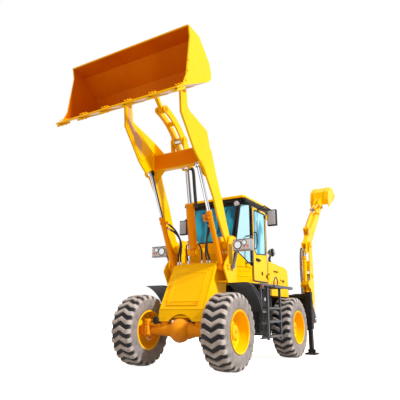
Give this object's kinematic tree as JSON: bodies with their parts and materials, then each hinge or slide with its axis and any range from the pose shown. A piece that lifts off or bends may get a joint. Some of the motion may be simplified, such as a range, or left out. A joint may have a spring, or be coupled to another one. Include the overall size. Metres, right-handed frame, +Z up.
{
  "type": "backhoe loader",
  "caption": "Backhoe loader, loader raised and hoe folded up behind: rear-wheel steering, Z-bar bucket, sliding hoe, stabilisers, opening doors.",
  "frame": {"origin": "on the ground, in the middle of the parked machine's length and width", "axes": "+X forward towards the loader bucket, +Y to the machine's left, +Z up"},
  "size_m": [8.6113, 2.31, 4.835],
  "materials": {
    "yellow_paint": "gloss",
    "chassis_black": "satin",
    "engine_iron": "matte",
    "window_glass": "gloss",
    "seat_vinyl": "satin",
    "dark_plastic": "matte",
    "step_grey": "satin",
    "lamp_plastic": "gloss",
    "chrome_rod": "polished",
    "pin_steel": "satin",
    "tyre_rubber": "matte"
  },
  "bodies": {
    "chassis": {"chassis_rails": "chassis_black", "front_tower": "yellow_paint", "front_cover": "yellow_paint", "front_axle": "yellow_paint", "rear_axle": "yellow_paint", "engine_block": "engine_iron", "engine_hood": "yellow_paint", "cab_body": "yellow_paint", "cab_frame": "yellow_paint", "cab_roof": "yellow_paint", "cab_glass": "window_glass", "driver_seat": "seat_vinyl", "cab_controls": "dark_plastic", "side_decks": "chassis_black", "side_tanks": "chassis_black", "access_steps": "step_grey", "lamps": "lamp_plastic", "hoe_slide_frame": "chassis_black"},
    "wheel_front_left": {"tyre_front_left": "tyre_rubber", "rim_front_left": "yellow_paint"},
    "wheel_front_right": {"tyre_front_right": "tyre_rubber", "rim_front_right": "yellow_paint"},
    "knuckle_left": {"knuckle_left": "chassis_black"},
    "knuckle_right": {"knuckle_right": "chassis_black"},
    "wheel_rear_left": {"tyre_rear_left": "tyre_rubber", "rim_rear_left": "yellow_paint"},
    "wheel_rear_right": {"tyre_rear_right": "tyre_rubber", "rim_rear_right": "yellow_paint"},
    "door_left": {"door_left": "yellow_paint", "door_glass_left": "window_glass", "mirror_left": "dark_plastic"},
    "door_right": {"door_right": "yellow_paint", "door_glass_right": "window_glass", "mirror_right": "dark_plastic"},
    "loader_arm": {"loader_arm": "yellow_paint"},
    "lift_barrels": {"lift_barrels": "yellow_paint"},
    "lift_rods": {"lift_rods": "chrome_rod"},
    "tilt_barrel": {"tilt_barrel": "yellow_paint"},
    "tilt_rod": {"tilt_rod": "chrome_rod"},
    "rocker_sleeve": {"rocker_sleeve": "pin_steel"},
    "rocker": {"rocker": "yellow_paint"},
    "link_sleeve": {"link_sleeve": "pin_steel"},
    "bucket_link": {"bucket_link": "yellow_paint"},
    "bucket_pins": {"bucket_pins": "pin_steel"},
    "loader_bucket": {"loader_bucket": "yellow_paint"},
    "stabiliser_leg_left": {"stabiliser_leg_left": "chassis_black"},
    "stabiliser_leg_right": {"stabiliser_leg_right": "chassis_black"},
    "hoe_carriage": {"hoe_carriage": "chassis_black"},
    "swing_post": {"swing_post": "chassis_black"},
    "hoe_boom": {"hoe_boom": "yellow_paint"},
    "hoe_dipper": {"hoe_dipper": "yellow_paint"},
    "hoe_bucket": {"hoe_bucket": "yellow_paint"},
    "hoe_rocker": {"hoe_rocker": "yellow_paint"},
    "hoe_link": {"hoe_link": "yellow_paint"},
    "boom_ram_barrel": {"boom_ram_barrel": "yellow_paint"},
    "boom_ram_rod": {"boom_ram_rod": "chrome_rod"},
    "crowd_ram_barrel": {"crowd_ram_barrel": "yellow_paint"},
    "crowd_ram_rod": {"crowd_ram_rod": "chrome_rod"},
    "curl_ram_barrel": {"curl_ram_barrel": "yellow_paint"},
    "curl_ram_rod": {"curl_ram_rod": "chrome_rod"}
  },
  "joints": [
    {"name": "wheel_front_left_spin", "type": "hinge", "parent": "chassis", "child": "wheel_front_left", "pos_m": [2.36565, 0.85, 0.5875], "axis": [0, 1, 0], "continuous": true},
    {"name": "wheel_front_right_spin", "type": "hinge", "parent": "chassis", "child": "wheel_front_right", "pos_m": [2.36565, -0.85, 0.5875], "axis": [0, 1, 0], "continuous": true},
    {"name": "steer_left", "type": "hinge", "parent": "chassis", "child": "knuckle_left", "pos_m": [-0.33435, 0.62, 0.5875], "axis": [0, 0, 1], "range_deg": [-28, 28]},
    {"name": "wheel_rear_left_spin", "type": "hinge", "parent": "knuckle_left", "child": "wheel_rear_left", "pos_m": [-0.33435, 0.85, 0.5875], "axis": [0, 1, 0], "continuous": true},
    {"name": "door_left_hinge", "type": "hinge", "parent": "chassis", "child": "door_left", "pos_m": [0.36365, 0.72, 2.15], "axis": [0, 0, 1], "range_deg": [0, 80]},
    {"name": "steer_right", "type": "hinge", "parent": "chassis", "child": "knuckle_right", "pos_m": [-0.33435, -0.62, 0.5875], "axis": [0, 0, 1], "range_deg": [-28.05, 28.05]},
    {"name": "wheel_rear_right_spin", "type": "hinge", "parent": "knuckle_right", "child": "wheel_rear_right", "pos_m": [-0.33435, -0.85, 0.5875], "axis": [0, 1, 0], "continuous": true},
    {"name": "door_right_hinge", "type": "hinge", "parent": "chassis", "child": "door_right", "pos_m": [0.36365, -0.72, 2.15], "axis": [0, 0, -1], "range_deg": [0, 80]},
    {"name": "lift", "type": "hinge", "parent": "chassis", "child": "loader_arm", "pos_m": [1.69565, 0, 2.03], "axis": [0, 1, 0], "range_deg": [0, 98]},
    {"name": "lift_barrel_hinge", "type": "hinge", "parent": "chassis", "child": "lift_barrels", "pos_m": [1.91565, 0, 1.62], "axis": [0, 1, 0], "range_deg": [0, 105.69]},
    {"name": "lift_rod_slide", "type": "slide", "parent": "lift_barrels", "child": "lift_rods", "axis": [0.425, 0, 0.9052], "range_m": [-0.6766, 0]},
    {"name": "tilt_barrel_hinge", "type": "hinge", "parent": "chassis", "child": "tilt_barrel", "pos_m": [2.01565, 0, 1.9], "axis": [0, 1, 0], "range_deg": [0, 99.14]},
    {"name": "tilt_rod_slide", "type": "slide", "parent": "tilt_barrel", "child": "tilt_rod", "axis": [0.1623, 0, 0.9867], "range_m": [-0.2993, 0]},
    {"name": "bucket_pin_hinge", "type": "hinge", "parent": "loader_arm", "child": "bucket_pins", "pos_m": [3.29565, 0, 4.41], "axis": [0, -1, 0], "range_deg": [0, 127.95]},
    {"name": "bucket_tilt", "type": "hinge", "parent": "bucket_pins", "child": "loader_bucket", "pos_m": [3.29565, 0, 4.41], "axis": [0, -1, 0], "range_deg": [-15, 45]},
    {"name": "rocker_sleeve_hinge", "type": "hinge", "parent": "loader_arm", "child": "rocker_sleeve", "pos_m": [2.53565, 0, 3.82], "axis": [0, -1, 0], "range_deg": [-28.46, 0]},
    {"name": "rocker_hinge", "type": "hinge", "parent": "rocker_sleeve", "child": "rocker", "pos_m": [2.53565, 0, 3.82], "axis": [0, -1, 0], "range_deg": [-10.18, 3.42]},
    {"name": "link_sleeve_hinge", "type": "hinge", "parent": "loader_bucket", "child": "link_sleeve", "pos_m": [3.45165, 0, 4.604], "axis": [0, -1, 0], "range_deg": [-66.83, 0]},
    {"name": "link_hinge", "type": "hinge", "parent": "link_sleeve", "child": "bucket_link", "pos_m": [3.45165, 0, 4.604], "axis": [0, -1, 0], "range_deg": [-24.67, 8.26]},
    {"name": "stabiliser_left_slide", "type": "slide", "parent": "chassis", "child": "stabiliser_leg_left", "axis": [0, 0, 1], "range_m": [0, 0.38]},
    {"name": "stabiliser_right_slide", "type": "slide", "parent": "chassis", "child": "stabiliser_leg_right", "axis": [0, 0, 1], "range_m": [0, 0.38]},
    {"name": "hoe_side_shift", "type": "slide", "parent": "chassis", "child": "hoe_carriage", "axis": [0, 1, 0], "range_m": [-1.56, 0]},
    {"name": "hoe_swing", "type": "hinge", "parent": "hoe_carriage", "child": "swing_post", "pos_m": [-1.62435, 0.78, 0.88], "axis": [0, 0, 1], "range_deg": [-80, 80]},
    {"name": "hoe_boom_lift", "type": "hinge", "parent": "swing_post", "child": "hoe_boom", "pos_m": [-1.91435, 0.78, 0.72], "axis": [0, -1, 0], "range_deg": [0, 75]},
    {"name": "hoe_dipper_crowd", "type": "hinge", "parent": "hoe_boom", "child": "hoe_dipper", "pos_m": [-2.00435, 0.78, 2.5], "axis": [0, -1, 0], "range_deg": [-15, 90]},
    {"name": "hoe_bucket_curl", "type": "hinge", "parent": "hoe_dipper", "child": "hoe_bucket", "pos_m": [-3.33435, 0.78, 3.73], "axis": [0, -1, 0], "range_deg": [-30, 115]},
    {"name": "boom_ram_hinge", "type": "hinge", "parent": "swing_post", "child": "boom_ram_barrel", "pos_m": [-1.73935, 0.78, 1.04], "axis": [0, -1, 0], "range_deg": [0, 80.53]},
    {"name": "boom_ram_slide", "type": "slide", "parent": "boom_ram_barrel", "child": "boom_ram_rod", "axis": [-0.3497, 0, 0.9369], "range_m": [0, 0.4461]},
    {"name": "crowd_ram_hinge", "type": "hinge", "parent": "hoe_boom", "child": "crowd_ram_barrel", "pos_m": [-1.72935, 0.78, 1.53], "axis": [0, -1, 0], "range_deg": [-2.57, 0.47]},
    {"name": "crowd_ram_slide", "type": "slide", "parent": "crowd_ram_barrel", "child": "crowd_ram_rod", "axis": [-0.0635, 0, 0.998], "range_m": [-0.0691, 0.4094]},
    {"name": "hoe_rocker_hinge", "type": "hinge", "parent": "hoe_dipper", "child": "hoe_rocker", "pos_m": [-2.99044, 0.78, 3.48686], "axis": [0, -1, 0], "range_deg": [-29.69, 113.66]},
    {"name": "hoe_link_hinge", "type": "hinge", "parent": "hoe_rocker", "child": "hoe_link", "pos_m": [-2.73349, 0.78, 3.53936], "axis": [0, -1, 0], "range_deg": [-113.6, 29.67]},
    {"name": "curl_ram_hinge", "type": "hinge", "parent": "hoe_dipper", "child": "curl_ram_barrel", "pos_m": [-2.04535, 0.78, 2.89751], "axis": [0, -1, 0], "range_deg": [-0.46, 1.64]},
    {"name": "curl_ram_slide", "type": "slide", "parent": "curl_ram_barrel", "child": "curl_ram_rod", "axis": [-0.7313, 0, 0.6821], "range_m": [-0.1204, 0.4586]}
  ],
  "couplings": [
    {"joint": "steer_right", "follows": "steer_left", "ratio": 1},
    {"joint": "lift_barrel_hinge", "follows": "lift", "ratio": 1.078},
    {"joint": "lift_rod_slide", "follows": "lift", "m_per_rad": -0.395},
    {"joint": "tilt_barrel_hinge", "follows": "lift", "ratio": 1.0111},
    {"joint": "tilt_rod_slide", "follows": "lift", "m_per_rad": -0.1744},
    {"joint": "bucket_pin_hinge", "follows": "lift", "ratio": 1.3051},
    {"joint": "rocker_sleeve_hinge", "follows": "lift", "ratio": -0.2899},
    {"joint": "rocker_hinge", "follows": "bucket_tilt", "ratio": -0.225},
    {"joint": "link_sleeve_hinge", "follows": "lift", "ratio": -0.6814},
    {"joint": "link_hinge", "follows": "bucket_tilt", "ratio": -0.5472},
    {"joint": "boom_ram_hinge", "follows": "hoe_boom_lift", "ratio": 1.073},
    {"joint": "boom_ram_slide", "follows": "hoe_boom_lift", "m_per_rad": 0.34},
    {"joint": "crowd_ram_hinge", "follows": "hoe_dipper_crowd", "ratio": -0.028},
    {"joint": "crowd_ram_slide", "follows": "hoe_dipper_crowd", "m_per_rad": 0.26},
    {"joint": "hoe_rocker_hinge", "follows": "hoe_bucket_curl", "ratio": 0.9879},
    {"joint": "hoe_link_hinge", "follows": "hoe_bucket_curl", "ratio": -0.9874},
    {"joint": "curl_ram_hinge", "follows": "hoe_bucket_curl", "ratio": 0.0138},
    {"joint": "curl_ram_slide", "follows": "hoe_bucket_curl", "m_per_rad": 0.228}
  ]
}
